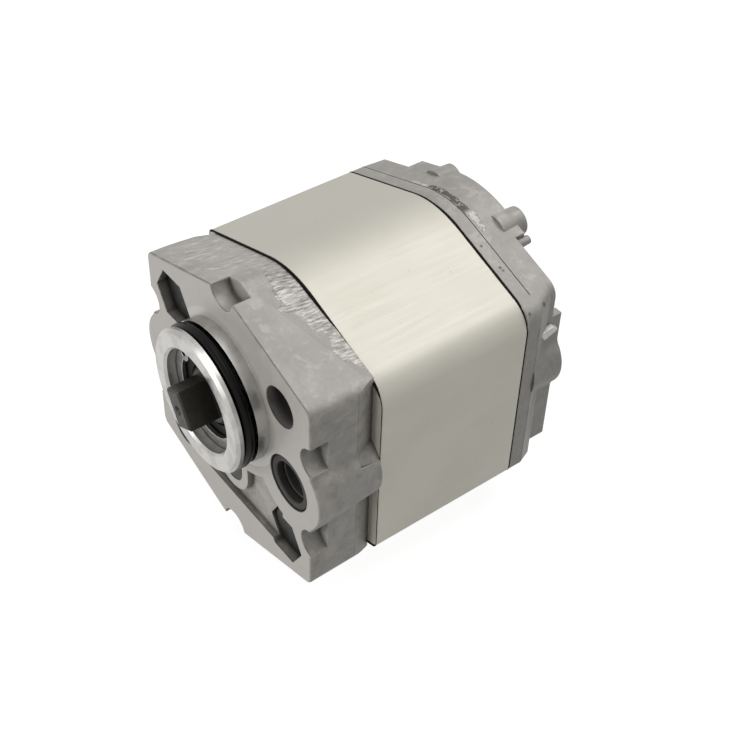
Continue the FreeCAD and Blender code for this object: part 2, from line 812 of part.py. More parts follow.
def seal_retaining_ring():
    outer = pilot_bore_radius + ring_groove_depth - ring_play
    inner = pilot_bore_radius - ring_width
    ring = tube(outer, inner, ring_front, ring_back)
    gap = block((-ring_gap / 2, ring_front, 0), (ring_gap / 2, ring_back, outer + 1))
    ring = ring.cut(gap)
    eye_reach = inner + ring_eye_reach
    for side in (-1, 1):
        x = side * (ring_gap / 2 + ring_eye_radius - ring_eye_overlap)
        z = math.sqrt(eye_reach ** 2 - x ** 2)
        ring = ring.fuse(rod(ring_eye_radius, ring_front, ring_back, x, z))
        ring = ring.cut(rod(ring_eye_hole_radius, ring_front, ring_back, x, z))
    ring.rotate(point(0, 0, 0), point(0, 1, 0), -tang_tilt)
    return ring


def pilot_o_ring():
    middle = pilot_front + pilot_groove_start + pilot_groove_width / 2
    return Part.makeTorus(o_ring_radius + groove_play, o_ring_section / 2, point(0, middle, 0),
                          point(0, 1, 0))


def port_seal_ring():
    outer = port_counterbore_radius - port_ring_clearance
    ring = tube(outer, outer - port_ring_width, port_ring_recess, port_counterbore_depth,
                port_x, face_centre_z)
    rim = [edge for edge in ring.Edges
           if edge.BoundBox.YMax < port_ring_recess + 0.01 and edge.BoundBox.YLength < 0.01]
    return ring.makeFillet(port_ring_edge_radius, rim)


def assembly_bolts():
    solids = []
    for x, z in bolt_places():
        end = nut_seat + nut_height + bolt_overhang
        head = hexagon_bar(hexagon_size, head_recess, head_seat, x, z)
        corner = hexagon_size / math.sqrt(3)
        dome = cone(hexagon_size / 2 - hexagon_inset, corner + hexagon_play, head_recess,
                    head_recess + hexagon_chamfer, x, z)
        rest = rod(corner + hexagon_play, head_recess + hexagon_chamfer, head_seat, x, z)
        head = head.common(dome.fuse(rest))
        shank = rod(bolt_radius, head_seat, end - bolt_point, x, z)
        point_end = cone(bolt_radius, bolt_radius - bolt_point, end - bolt_point, end, x, z)
        solids.append(fused([head, shank, point_end]))
    return Part.makeCompound(solids)


def assembly_nuts():
    solids = []
    for x, z in bolt_places():
        start = nut_seat
        end = start + nut_height
        corner = hexagon_size / math.sqrt(3)
        nut = hexagon_bar(hexagon_size, start, end, x, z)
        dome = cone(corner + hexagon_play, hexagon_size / 2 - hexagon_inset,
                    end - hexagon_chamfer, end, x, z)
        nut = nut.common(dome.fuse(rod(corner + hexagon_play, start, end - hexagon_chamfer, x, z)))
        solids.append(nut.cut(rod(bolt_radius + nut_fit, start, end, x, z)))
    return Part.makeCompound(solids)


def dowel_pins(seam):
    solids = []
    for x, z in dowel_places():
        pin = rod(dowel_radius, seam - dowel_length / 2, seam + dowel_length / 2, x, z)
        rims = [edge for edge in pin.Edges if edge.BoundBox.YLength < 0.01]
        solids.append(pin.makeChamfer(dowel_chamfer, rims))
    return Part.makeCompound(solids)


def passage_seals():
    return Part.makeCompound(transfer_seals(cover_depth - face_seal_depth, face_seal_width, 0))


front_outer = housing_front + block_end_clearance
front_inner = gear_front - gear_side_clearance
rear_outer = housing_back - block_end_clearance
rear_inner = gear_back + gear_side_clearance

nodes = {
    "front_cover": front_cover(),
    "gear_housing": gear_housing(),
    "rear_cover": rear_cover(),
    "drive_gear_shaft": drive_gear_shaft(),
    "driven_gear_shaft": driven_gear_shaft(),
    "front_bearing_block": bearing_block(front_outer, front_inner),
    "rear_bearing_block": bearing_block(rear_outer, rear_inner),
    "front_drive_bush": bearing_bush(front_outer, front_inner, 0),
    "front_driven_bush": bearing_bush(front_outer, front_inner, driven_z),
    "rear_drive_bush": bearing_bush(rear_outer, rear_inner, 0),
    "rear_driven_bush": bearing_bush(rear_outer, rear_inner, driven_z),
    "front_block_seal": block_seal(front_outer, front_inner),
    "rear_block_seal": block_seal(rear_outer, rear_inner),
    "front_back_up_ring": block_back_up(front_outer, front_inner),
    "rear_back_up_ring": block_back_up(rear_outer, rear_inner),
    "shaft_seal_case": shaft_seal_case(),
    "shaft_seal_lip": shaft_seal_lip(),
    "shaft_seal_spring": shaft_seal_spring(),
    "seal_retaining_ring": seal_retaining_ring(),
    "pilot_o_ring": pilot_o_ring(),
    "port_seal_ring": port_seal_ring(),
    "front_housing_seal": face_seal(cover_depth - face_seal_depth, face_seal_width, 0),
    "rear_housing_seal": face_seal(housing_back, face_seal_width, 0),
    "passage_seals": passage_seals(),
    "front_dowel_pins": dowel_pins(housing_front),
    "rear_dowel_pins": dowel_pins(housing_back),
    "assembly_bolts": assembly_bolts(),
    "assembly_nuts": assembly_nuts(),
}

os.makedirs("parts", exist_ok=True)
for name, shape in nodes.items():
    shape.exportStep("parts/" + name + ".step")
    box = shape.BoundBox
    print(name, "solids", len(shape.Solids), "volume", round(shape.Volume, 1),
          "valid", shape.isValid(),
          "x", round(box.XMin, 1), round(box.XMax, 1),
          "y", round(box.YMin, 1), round(box.YMax, 1),
          "z", round(box.ZMin, 1), round(box.ZMax, 1))
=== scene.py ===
import enum
import json
import logging
import math
from dataclasses import dataclass
from functools import cached_property, reduce
from typing import Sequence

import bpy
import numpy as np
from bpy.types import Material, NodeSocket as Socket
from mathutils import Matrix, Vector

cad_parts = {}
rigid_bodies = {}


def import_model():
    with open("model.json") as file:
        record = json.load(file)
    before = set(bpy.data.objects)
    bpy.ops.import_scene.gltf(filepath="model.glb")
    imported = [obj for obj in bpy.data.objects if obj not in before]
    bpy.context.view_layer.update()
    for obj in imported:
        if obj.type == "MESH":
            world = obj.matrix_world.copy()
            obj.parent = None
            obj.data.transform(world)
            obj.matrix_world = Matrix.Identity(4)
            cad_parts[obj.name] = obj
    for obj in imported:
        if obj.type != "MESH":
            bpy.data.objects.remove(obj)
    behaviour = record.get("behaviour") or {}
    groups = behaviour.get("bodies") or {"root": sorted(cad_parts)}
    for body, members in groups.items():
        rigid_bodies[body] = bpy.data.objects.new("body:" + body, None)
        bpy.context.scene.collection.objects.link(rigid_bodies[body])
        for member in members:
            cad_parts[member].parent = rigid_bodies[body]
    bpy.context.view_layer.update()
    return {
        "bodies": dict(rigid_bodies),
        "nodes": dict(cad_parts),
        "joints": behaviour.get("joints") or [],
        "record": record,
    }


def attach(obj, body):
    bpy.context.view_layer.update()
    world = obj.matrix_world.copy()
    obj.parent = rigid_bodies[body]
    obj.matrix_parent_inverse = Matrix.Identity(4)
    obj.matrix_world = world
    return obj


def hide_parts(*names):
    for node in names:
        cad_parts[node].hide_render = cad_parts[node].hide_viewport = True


LOG = logging.getLogger("gear_pump")
MM = 0.001
SLOPE = math.radians(18.7)
FACE_CENTRE_Z = -10.25
SHARP_FROM = math.radians(38)
Grid = np.ndarray
Pair = tuple[float, float]
Triple = tuple[float, float, float]
Quad = tuple[float, float, float, float]
Colour = Quad
WHITE: Colour = (1.0, 1.0, 1.0, 1.0)


class Rows(enum.Enum):
    """Whether a surface's rows end in two caps or close into a ring."""

    OPEN = "open"
    CLOSED = "closed"


def linked(name: str, data: bpy.types.ID) -> bpy.types.Object:
    """Makes a new object and links it to the scene.

    Args:
        name: its name.
        data: its mesh, camera or light.

    Returns:
        The object.
    """
    made = bpy.data.objects.new(name, data)
    bpy.context.scene.collection.objects.link(made)
    return made


class Board:
    """Lays out the nodes of one material or world and wires them together."""

    def __init__(self, owner: Material | bpy.types.World) -> None:
        """Starts with no node.

        Args:
            owner: the material or world.
        """
        self.owner = owner
        owner.use_nodes = True
        self.tree = owner.node_tree
        self.tree.nodes.clear()
        self.count = 0

    def add(self, kind: str, settings: dict | None = None, **inputs: object) -> bpy.types.Node:
        """Adds one node.

        Args:
            kind: the node's type name without its leading word.
            settings: the node's own options.
            inputs: values or sockets for its inputs, by name, or by place as i0, i1.

        Returns:
            The new node.
        """
        node = self.tree.nodes.new("ShaderNode" + kind)
        node.location = (220 * (self.count % 12), -260 * (self.count // 12))
        self.count += 1
        for key, value in (settings or {}).items():
            setattr(node, key, value)
        for key, value in inputs.items():
            socket = node.inputs[int(key[1:]) if key[1:].isdigit() else key.replace("_", " ")]
            if isinstance(value, Socket):
                self.tree.links.new(value, socket)
            else:
                socket.default_value = value
        return node

    def math(self, operation: str, first: object, second: object = 0.0,
             third: object = 0.0) -> Socket:
        """Works out one number from up to three."""
        return self.add("Math", {"operation": operation}, i0=first, i1=second, i2=third).outputs[0]

    def ramp(self, value: object, low: float, high: float, start: float = 0.0,
             end: float = 1.0) -> Socket:
        """Carries a value from low..high into start..end, smoothly and held at both ends."""
        return self.add("MapRange", {"interpolation_type": "SMOOTHSTEP"}, i0=value, i1=low,
                        i2=high, i3=start, i4=end).outputs[0]

    def blend(self, share: object, first: object, second: object) -> Socket:
        """Mixes a share of the second colour into the first."""
        return self.add("Mix", {"data_type": "RGBA"}, i0=share, i6=first, i7=second).outputs[2]

    @cached_property
    def spot(self) -> Socket:
        """The surface's place in the object's own frame, in millimetres."""
        spot = self.add("TexCoord").outputs["Object"]
        return self.add("VectorMath", {"operation": "SCALE"}, i0=spot, Scale=1 / MM).outputs[0]

    @cached_property
    def axes(self) -> tuple[Socket, Socket, Socket]:
        """The place across the pump, along the shaft and upwards."""
        return self.split(self.spot)

    def noise(self, scale: float, detail: float = 3.0, roughness: float = 0.55,
              stretch: Triple | None = None, distortion: float = 0.0) -> Socket:
        """A cloudy pattern.

        Args:
            scale: its repeats per millimetre.
            detail: how many finer layers it has.
            roughness: how strong those are.
            stretch: a scale of its own along each axis, or none.
            distortion: how far its lines are bent.

        Returns:
            The pattern's socket.
        """
        spot = self.spot
        if stretch is not None:
            spot = self.add("Mapping", Vector=spot, Scale=stretch).outputs[0]
        return self.add("TexNoise", Vector=spot, Scale=scale, Detail=detail, Roughness=roughness,
                        Distortion=distortion).outputs["Fac"]

    def above(self, value: object, limit: float, soft: float) -> Socket:
        """1 above a limit and 0 below it, with a change that reaches as far as soft says."""
        return self.ramp(value, limit - soft, limit + soft)

    def below(self, value: object, limit: float, soft: float) -> Socket:
        """1 below a limit and 0 above it, with a change that reaches as far as soft says."""
        return self.ramp(value, limit + soft, limit - soft)

    def within(self, value: object, low: float, high: float, soft: float) -> Socket:
        """1 between two limits and 0 outside them."""
        return self.times(self.above(value, low, soft), self.below(value, high, soft))

    def times(self, *values: object) -> Socket:
        """The product of several values."""
        return reduce(lambda first, second: self.math("MULTIPLY", first, second), values)

    def largest(self, *values: object) -> Socket:
        """The largest of several values."""
        return reduce(lambda first, second: self.math("MAXIMUM", first, second), values)

    def times_plus(self, value: object, factor: object, more: object) -> Socket:
        """A value times a factor, plus one more value."""
        return self.math("MULTIPLY_ADD", value, factor, more)

    def minus(self, first: object, *others: object) -> Socket:
        """The first value less all others."""
        return reduce(lambda left, other: self.math("SUBTRACT", left, other), others, first)

    def split(self, vector: Socket) -> tuple[Socket, Socket, Socket]:
        """A vector's three parts."""
        return tuple(self.add("SeparateXYZ", Vector=vector).outputs)

    def length(self, first: Socket, second: Socket) -> Socket:
        """How long two numbers at a right angle are together."""
        return self.math("SQRT", self.times_plus(first, first, self.times(second, second)))

    def coats(self, colour: object, *coats: tuple[object, object]) -> Socket:
        """Lays colours over a first one, each by its own share."""
        return reduce(lambda under, coat: self.blend(coat[0], under, coat[1]), coats, colour)

    def openness(self, reach: float) -> Socket:
        """1 in the open, less in creases and bores, with walls counted up to a reach in mm."""
        return self.add("AmbientOcclusion", {"samples": 8}, Distance=reach * MM).outputs["AO"]

    def soft_edge(self, radius: object) -> Socket:
        """The normal with every edge rounded a little, by a radius in metres."""
        return self.add("Bevel", {"samples": 6}, Radius=radius).outputs[0]

    def edge_share(self, radius: float) -> Socket:
        """Where the surface lies close to an edge, from 0 away from it to 1 on it.

        Args:
            radius: how far the edge reaches, in millimetres.

        Returns:
            The share's socket.
        """
        plain = self.add("NewGeometry").outputs["Normal"]
        alike = self.add("VectorMath", {"operation": "DOT_PRODUCT"},
                         i0=self.soft_edge(radius * MM), i1=plain)
        return self.ramp(alike.outputs["Value"], 0.995, 0.86)

    def bump(self, height: Socket, depth: float, normal: Socket | None = None) -> Socket:
        """The normal, raised by a pattern that is so many millimetres deep."""
        start = {} if normal is None else {"Normal": normal}
        return self.add("Bump", Strength=1.0, Distance=depth * MM, Height=height,
                        **start).outputs[0]

    def finish(self, **inputs: object) -> Material:
        """The material, with a surface shader that has these inputs."""
        self.add("OutputMaterial", i0=self.add("BsdfPrincipled", **inputs).outputs[0])
        return self.owner


def tinted(colour: Colour, factor: float, lift: float = 0.0) -> Colour:
    """A colour made darker or paler by a factor and a lift."""
    return tuple(min(1.0, part * factor + lift) for part in colour[:3]) + (1.0,)


@dataclass(frozen=True)
class CastZones:
    """Where each kind of surface lies on a casting, as shares from 0 to 1."""

    upright: Socket
    # behind: painted shade on the rear cover's upright sides and left slope
    behind: Socket
    face: Socket
    collar: Socket
    # ring: a painted highlight line round the pilot's seat
    ring: Socket
    pilot: Socket
    turned: Socket
    band: Socket
    # lines: dark lines painted behind the face's upper edges and at the side relief's step
    lines: Socket
    cast: Socket


@dataclass(frozen=True)
class CastSkin:
    """The satin skin of a die-cast cover, with its faced, milled and turned places.

    Spans are two places along the shaft, or two radii for the painted highlight ring. Each
    unmilled place has its left and right border and its back end. Each pit has its place and
    size, and each bore its x, its z and its radius. The colour also carries painted highlights
    on the open edges and round the pilot's seat, a painted reflection on the pilot, and painted
    shade in creases, recesses, bores, on the upright sides and at the back.
    """

    name: str
    base: Colour = (0.45, 0.43, 0.40, 1.0)
    dark: Colour = (0.28, 0.268, 0.245, 1.0)
    pale: Colour = (0.55, 0.525, 0.49, 1.0)
    faced: Colour = (0.56, 0.53, 0.50, 1.0)
    bright: Colour = (0.70, 0.68, 0.64, 1.0)
    scratch: Colour = (0.25, 0.24, 0.22, 1.0)
    lathe_metal: Colour = (0.49, 0.48, 0.46, 1.0)
    # near black, painted as shade in creases, recesses, bores, pits and along the dark lines
    hollow_shade: Colour = (0.03, 0.028, 0.025, 1.0)
    metal: float = 0.22
    cover_offset: float = 38.0
    cover_draft: float = 0.0273
    cut_span: Pair = (1.3, 18.4)
    cut_from: float = 34.1
    cut_reach: float = 31.4
    ragged_depth: float = 0.55
    unmilled: tuple[Triple, ...] = ((-4.4, 3.2, 11.0), (-5.4, 5.4, 5.2))
    pilot_radius: float = 18.4
    lands_from: float = -8.85
    collar_radius: float = 20.3
    # the two radii of the painted highlight ring
    glint_ring_span: Pair = (20.28, 20.42)
    rim_span: Pair = (0.12, 0.36)
    relief_span: Pair = (12.92, 13.1)
    bulge_reach: float = 9.3
    rear_seam: float = 61.0
    bores_end: float = 69.25
    sharp_radius: float = 0.00008
    soft_radius: float = 0.0004
    pits: tuple[Quad, ...] = (
        (33.7, 66.9, 16.0, 0.7), (34.3, 61.9, 15.9, 0.45), (21.6, 63.2, 20.7, 0.5),
        (22.6, 63.4, 20.35, 0.4), (14.9, 62.9, 22.9, 0.45))
    bores: tuple[Triple, ...] = (
        (22.45, 11.85, 5.2), (-22.45, -32.35, 5.2), (25.3, -10.25, 7.3), (-25.3, -10.25, 6.0))

    def milled(self, board: Board, ragged: Socket) -> Socket:
        """Where the cutter went over the front cover's upper slopes.

        A place counts when it lies below the cast skin, whose distance from the shaft's middle
        plane along the slope's normal is the half width's sine plus the rise's cosine. The
        land beside the apex pocket and the pocket itself are left out.

        Args:
            board: the material's board.
            ragged: a pattern that roughens the border.

        Returns:
            The share's socket.
        """
        x, y, z = board.axes
        side = board.math("ABSOLUTE", x)
        rise = board.minus(z, FACE_CENTRE_Z)
        offset = board.times_plus(side, math.sin(SLOPE), board.times(rise, math.cos(SLOPE)))
        skin = board.times_plus(y, -self.cover_draft, self.cover_offset)
        depth = board.minus(skin, offset, board.times(ragged, self.ragged_depth))
        spared = [board.times(board.within(x, left, right, 0.1), board.below(y, back, 0.1))
                  for left, right, back in self.unmilled]
        return board.times(
            board.above(depth, 0.07, 0.05), board.above(offset, self.cut_from, 0.2),
            board.minus(1.0, board.largest(*spared)), board.within(y, *self.cut_span, 0.1),
            board.below(side, self.cut_reach, 0.2))

    def zones(self, board: Board, waves: Socket) -> CastZones:
        """Tells the kinds of surface apart.

        The face is found from its direction, the milled band from its place, and the turned
        lands from their distance from the shaft. Dark lines are painted behind the face's upper
        edges and along the side relief's step, where no port bulge is. Painted shade lies on the
        rear cover's upright sides and left slope, and a painted highlight ring round the pilot's
        seat. All else in front is cast.

        Args:
            board: the material's board.
            waves: a slow pattern for the milled band's border.

        Returns:
            The shares.
        """
        x, y, z = board.axes
        across, along, up = board.split(board.add("TexCoord").outputs["Normal"])
        radius = board.length(x, z)
        upright = board.ramp(board.math("ABSOLUTE", up), 0.85, 0.5)
        face = board.times(board.below(along, -0.95, 0.02), board.below(y, 0.15, 0.05))
        pilot = board.times(board.below(radius, self.pilot_radius, 0.05),
                            board.below(y, -0.025, 0.025))
        band = self.milled(board, board.ramp(waves, 0.4, 0.62))
        # the dark lines: painted behind the face's upper edges and along the side relief's step
        rim = board.times(board.within(y, *self.rim_span, 0.07), board.ramp(up, 0.5, 0.8))
        beside = board.math("ABSOLUTE", board.minus(z, FACE_CENTRE_Z))
        relief = board.times(board.within(y, *self.relief_span, 0.07), upright,
                             board.ramp(across, 0.8, 0.9),
                             board.above(beside, self.bulge_reach, 0.3))
        return CastZones(
            upright=upright, face=face, pilot=pilot, band=band,
            # painted shade on the rear cover's upright sides and its left slope
            behind=board.times(board.above(y, self.rear_seam, 0.5), board.largest(
                board.times(upright, 0.55), board.ramp(x, 4.0, -8.0, 0.0, 0.3))),
            collar=board.times(face, board.below(radius, self.collar_radius, 0.05)),
            # a painted highlight ring round the pilot's seat
            ring=board.times(face, board.within(radius, *self.glint_ring_span, 0.08)),
            turned=board.times(pilot, board.above(y, self.lands_from, 0.05)),
            lines=board.largest(rim, board.times(relief, 0.8)),
            cast=board.minus(1.0, board.largest(face, pilot, band)))

    def skin(self, board: Board, zones: CastZones, flow: Socket, specks: Socket,
             edges: Socket) -> Socket:
        """The colour of the cast skin: cloudy at three scales, with pits, a painted highlight on its
        edges and painted shade on its upright sides and at the back.

        Args:
            board: the material's board.
            zones: the kinds of surface.
            flow: the marks of the metal's flow.
            specks: a fine pattern.
            edges: how close an open edge is, which sets the painted highlight there.

        Returns:
            The colour's socket.
        """
        clouds = board.ramp(board.noise(0.10, 4.0), 0.35, 0.7, 0.0, 0.4)
        eddies = board.times(board.ramp(flow, 0.47, 0.36),
                             board.times_plus(zones.upright, 0.5, 0.3))
        skin = board.coats(
            self.base, (clouds, self.dark), (board.ramp(flow, 0.5, 0.64, 0.0, 0.8), self.pale),
            (eddies, self.dark), (board.ramp(specks, 0.58, 0.72, 0.0, 0.5), self.dark),
            # painted shade: upright sides a little darker, the rear cover's sides and left slope more
            # so
            (board.largest(zones.behind, board.times(zones.upright, 0.2)), self.dark),
            # painted highlight along the open edges
            (board.times(edges, 0.45), self.bright))
        for *place, size in self.pits:
            apart = board.add("VectorMath", {"operation": "DISTANCE"}, i0=board.spot,
                              i1=tuple(place)).outputs["Value"]
            apart = board.times_plus(specks, size * 2, apart)
            skin = board.blend(board.ramp(apart, size * 2.3, size * 1.4, 0.0, 0.7), skin,
                               self.hollow_shade)
        return skin

    def inside(self, board: Board) -> Socket:
        """How far inside one of the bores a place lies, which sets the painted shade there.

        Args:
            board: the material's board.

        Returns:
            The share's socket, which is largest deep in a bore.
        """
        x, y, z = board.axes
        within = [board.below(board.length(board.minus(x, hole_x), board.minus(z, hole_z)),
                              radius + 0.15, 0.05) for hole_x, hole_z, radius in self.bores]
        return board.times(board.largest(*within), board.ramp(y, 0.3, 3.2, 0.4, 0.96),
                           board.below(y, self.bores_end, 0.25))

    def make(self) -> Material:
        """Builds the material from the cast skin and what tools left on it, with painted shade in
        creases, recesses and bores.

        Returns:
            The finished material.
        """
        board = Board(bpy.data.materials.new(self.name))
        waves = board.noise(0.17, 3.0)
        flow = board.noise(0.26, 6.0, 0.66, distortion=0.35)
        specks = board.noise(1.3, 5.0, 0.7)
        zones = self.zones(board, waves)
        face, pilot, turned, band = zones.face, zones.pilot, zones.turned, zones.band
        # how open each place is, for the painted shade in creases and recesses
        open_near = board.ramp(board.openness(2.0), 0.3, 0.9)
        open_far = board.ramp(board.openness(7.0), 0.2, 0.8)
        # where the painted highlight on open edges goes
        edges = board.times(board.edge_share(0.45), open_near)
        scratches = board.noise(1.0, 2.0, 0.6, (1.9, 0.07, 1.9))
        scratches = board.times_plus(board.minus(scratches, 0.5), board.ramp(
            board.axes[0], -7.0, 3.0, 0.62, 1.0), 0.5)
        lathe = board.noise(1.0, 2.0, stretch=(0.05, 9.0, 0.05))
        cut = board.coats(self.scratch, (board.ramp(scratches, 0.37, 0.47), self.base),
                          (board.ramp(scratches, 0.53, 0.61, 0.0, 0.85), self.bright))
        # painted reflection: darker patches on the pilot that stand in for the streaks in its
        # reflection
        patches = board.ramp(board.noise(0.22, 2.0), 0.42, 0.62, 0.0, 0.4)
        inside = self.inside(board)
        colour = board.coats(
            self.skin(board, zones, flow, specks, edges),
            (board.largest(board.times(face, 0.75), pilot), self.faced), (band, cut),
            (board.times_plus(zones.collar, 0.5, pilot), self.lathe_metal),
            # painted reflection patches on the pilot, and the painted highlight ring round its seat
            (board.times(pilot, patches), self.dark), (board.times(zones.ring, 0.6), self.bright),
            # dark lines painted behind the face's upper edges and along the side relief's step
            (board.times(zones.lines, board.ramp(waves, 0.3, 0.55, 0.3, 0.7)), self.hollow_shade),
            # painted shade in creases, and further in recesses and pockets
            (board.times(board.minus(1.0, open_near), board.times_plus(zones.cast, 0.55, 0.25)),
             self.hollow_shade),
            (board.times(board.minus(1.0, open_far), zones.cast, 0.75), self.hollow_shade),
            # painted shade deep in the mounting holes and ports
            (inside, self.hollow_shade))
        rough = board.minus(
            board.times_plus(inside, 0.4, board.ramp(flow, 0.3, 0.7, 0.52, 0.6)),
            board.times(board.largest(band, face), 0.08), board.times(turned, 0.2),
            board.times(zones.collar, 0.12))
        shine = board.times_plus(turned, 0.6, board.times_plus(band, 0.08, self.metal))
        shine = board.times_plus(zones.collar, 0.25, shine)
        metallic = board.minus(shine, board.times(inside, self.metal))
        lumps = board.times_plus(flow, board.times_plus(zones.upright, 0.7, 0.9),
                                 board.times(specks, 0.25))
        lumps = board.times_plus(board.noise(5.0, 2.0), 0.06, lumps)
        rounding = board.times_plus(turned, self.sharp_radius - self.soft_radius, self.soft_radius)
        smooth = board.bump(board.times(lumps, zones.cast), 0.16, board.soft_edge(rounding))
        marks = board.times_plus(scratches, band, board.times(lathe, turned, 0.15))
        return board.finish(Base_Color=colour, Metallic=metallic, Roughness=rough,
                            Normal=board.bump(marks, 0.1, smooth))


@dataclass(frozen=True)
class DrawnSkin:
    """The smooth, warm satin of the drawn housing, with faint lines along it."""

    name: str
    base: Colour = (0.68, 0.655, 0.575, 1.0)
    shade: Colour = (0.62, 0.597, 0.512, 1.0)
    # darker tone for the painted shade on the left slope
    dull_and_shade: Colour = (0.52, 0.51, 0.45, 1.0)
    speck: Colour = (0.25, 0.24, 0.21, 1.0)
    metal: float = 0.36

    def make(self) -> Material:
        """Builds the material from faint long streaks, soft clouds and rare dark specks.

        Towards the left slope the colour is painted darker, as painted shade.

        Returns:
            The finished material.
        """
        board = Board(bpy.data.materials.new(self.name))
        clouds = board.ramp(board.noise(0.05, 3.0), 0.3, 0.75, 0.0, 0.6)
        streaks = board.noise(1.0, 4.0, stretch=(1.6, 0.05, 1.6))
        specks = board.ramp(board.noise(0.9, 2.0, 0.4), 0.77, 0.8, 0.0, 0.6)
        colour = board.coats(
            self.base, (clouds, self.shade),
            # painted shade: the left slope darker
            (board.ramp(board.axes[0], 6.0, -14.0, 0.0, 0.7), self.dull_and_shade),
            (board.ramp(streaks, 0.45, 0.75, 0.0, 0.1), self.shade), (specks, self.speck))
        rough = board.ramp(streaks, 0.3, 0.7, 0.52, 0.57)
        height = board.times_plus(board.noise(7.0, 1.0), 0.4, streaks)
        normal = board.bump(height, 0.004, board.soft_edge(0.0003))
        return board.finish(Base_Color=colour, Metallic=self.metal, Roughness=rough, Normal=normal)


@dataclass(frozen=True)
class PlainMetal:
    """A machined or treated metal, with fine marks and lighter edges."""

    name: str
    base: Colour
    edge: Colour
    roughness: float
    metal: float = 1.0
    marks: float = 2.0

    def make(self) -> Material:
        """Builds the material from fine marks, with the edges rubbed bright and painted shade
        in creases.

        Returns:
            The finished material.
        """
        board = Board(bpy.data.materials.new(self.name))
        marks = board.noise(1.0, 4.0, stretch=(self.marks, self.marks * 3, self.marks))
        patches = board.noise(0.5, 3.0)
        near = board.ramp(board.openness(1.5), 0.4, 0.95)
        worn = board.times(board.edge_share(0.3), near, board.ramp(patches, 0.3, 0.6, 0.3, 0.9))
        dull_and_shade = tinted(self.base, 0.65)
        # random duller patches, rubbed bright edges, and painted shade in creases
        colour = board.coats(self.base, (board.ramp(patches, 0.3, 0.75), dull_and_shade), (worn, self.edge),
                             (board.minus(1.0, near), dull_and_shade))
        rough = board.ramp(marks, 0.3, 0.7, self.roughness - 0.06, self.roughness + 0.08)
        normal = board.bump(marks, 0.008, board.soft_edge(0.00025))
        return board.finish(Base_Color=colour, Metallic=self.metal, Roughness=rough, Normal=normal)


@dataclass(frozen=True)
class ChippedSkin:
    """Torn casting skin: dark and rough in the middle, with pale chips towards both ends."""

    name: str
    dark: Colour = (0.10, 0.097, 0.088, 1.0)
    pale: Colour = (0.42, 0.41, 0.39, 1.0)
    bright: Colour = (0.70, 0.69, 0.67, 1.0)

    def make(self) -> Material:
        """Builds the material from small crumbs, which are paler at both ends.

        Returns:
            The finished material.
        """
        board = Board(bpy.data.materials.new(self.name))
        x = board.axes[0]
        crumbs = board.noise(0.9, 4.0, 0.7)
        ends = board.largest(board.ramp(x, 4.4, 7.0), board.ramp(x, -8.0, -9.5, 0.0, 0.8))
        chips = board.blend(board.ramp(crumbs, 0.4, 0.5), self.pale, self.bright)
        colour = board.coats(self.dark, (board.ramp(crumbs, 0.52, 0.64), self.pale), (ends, chips))
        normal = board.bump(board.times_plus(board.noise(3.0, 3.0), 0.4, crumbs), 0.15)
        return board.finish(Base_Color=colour, Metallic=0.2, Roughness=0.6, Normal=normal)


@dataclass(frozen=True)
class SealRubber:
    """Moulded rubber or plastic for the seals."""

    name: str
    base: Colour
    roughness: float
    shine: float = 0.3

    def make(self) -> Material:
        """Builds the material from a faint grain, a few dusty patches and painted shade in creases.

        Returns:
            The finished material.
        """
        board = Board(bpy.data.materials.new(self.name))
        dust = board.noise(0.4, 4.0)
        colour = board.coats(
            self.base, (board.ramp(dust, 0.5, 0.8, 0.0, 0.5), tinted(self.base, 1.8, 0.01)),
            # painted shade in creases
            (board.ramp(board.openness(4.0), 0.95, 0.6), tinted(self.base, 0.15)))
        rough = board.ramp(dust, 0.35, 0.75, self.roughness, self.roughness + 0.15)
        return board.finish(Base_Color=colour, Roughness=rough, Specular_IOR_Level=self.shine,
                            Normal=board.bump(board.noise(6.0, 2.0), 0.006))


@dataclass
class PhotoCamera:
    """The camera at the photograph's place, found from the pump's own circles and edges."""

    place: Triple = (0.1968, -0.1134, 0.2226)
    right: Triple = (0.6013, 0.7986, 0.0267)
    up: Triple = (-0.5477, 0.3876, 0.7415)
    back: Triple = (0.5818, -0.4604, 0.6704)
    lens: float = 66.67
    sensor: float = 36.0
    shift: Pair = (-0.0070, -0.0490)
    clip: Pair = (0.01, 20.0)

    def make(self) -> None:
        """Makes the camera and hands the scene to it."""
        data = bpy.data.cameras.new("photo_camera")
        data.lens, data.sensor_width = self.lens, self.sensor
        data.shift_x, data.shift_y = self.shift
        data.clip_start, data.clip_end = self.clip
        camera = linked("photo_camera", data)
        turn = Matrix((self.right, self.up, self.back)).transposed()
        camera.matrix_world = Matrix.Translation(self.place) @ turn.to_4x4()
        bpy.context.scene.camera = camera


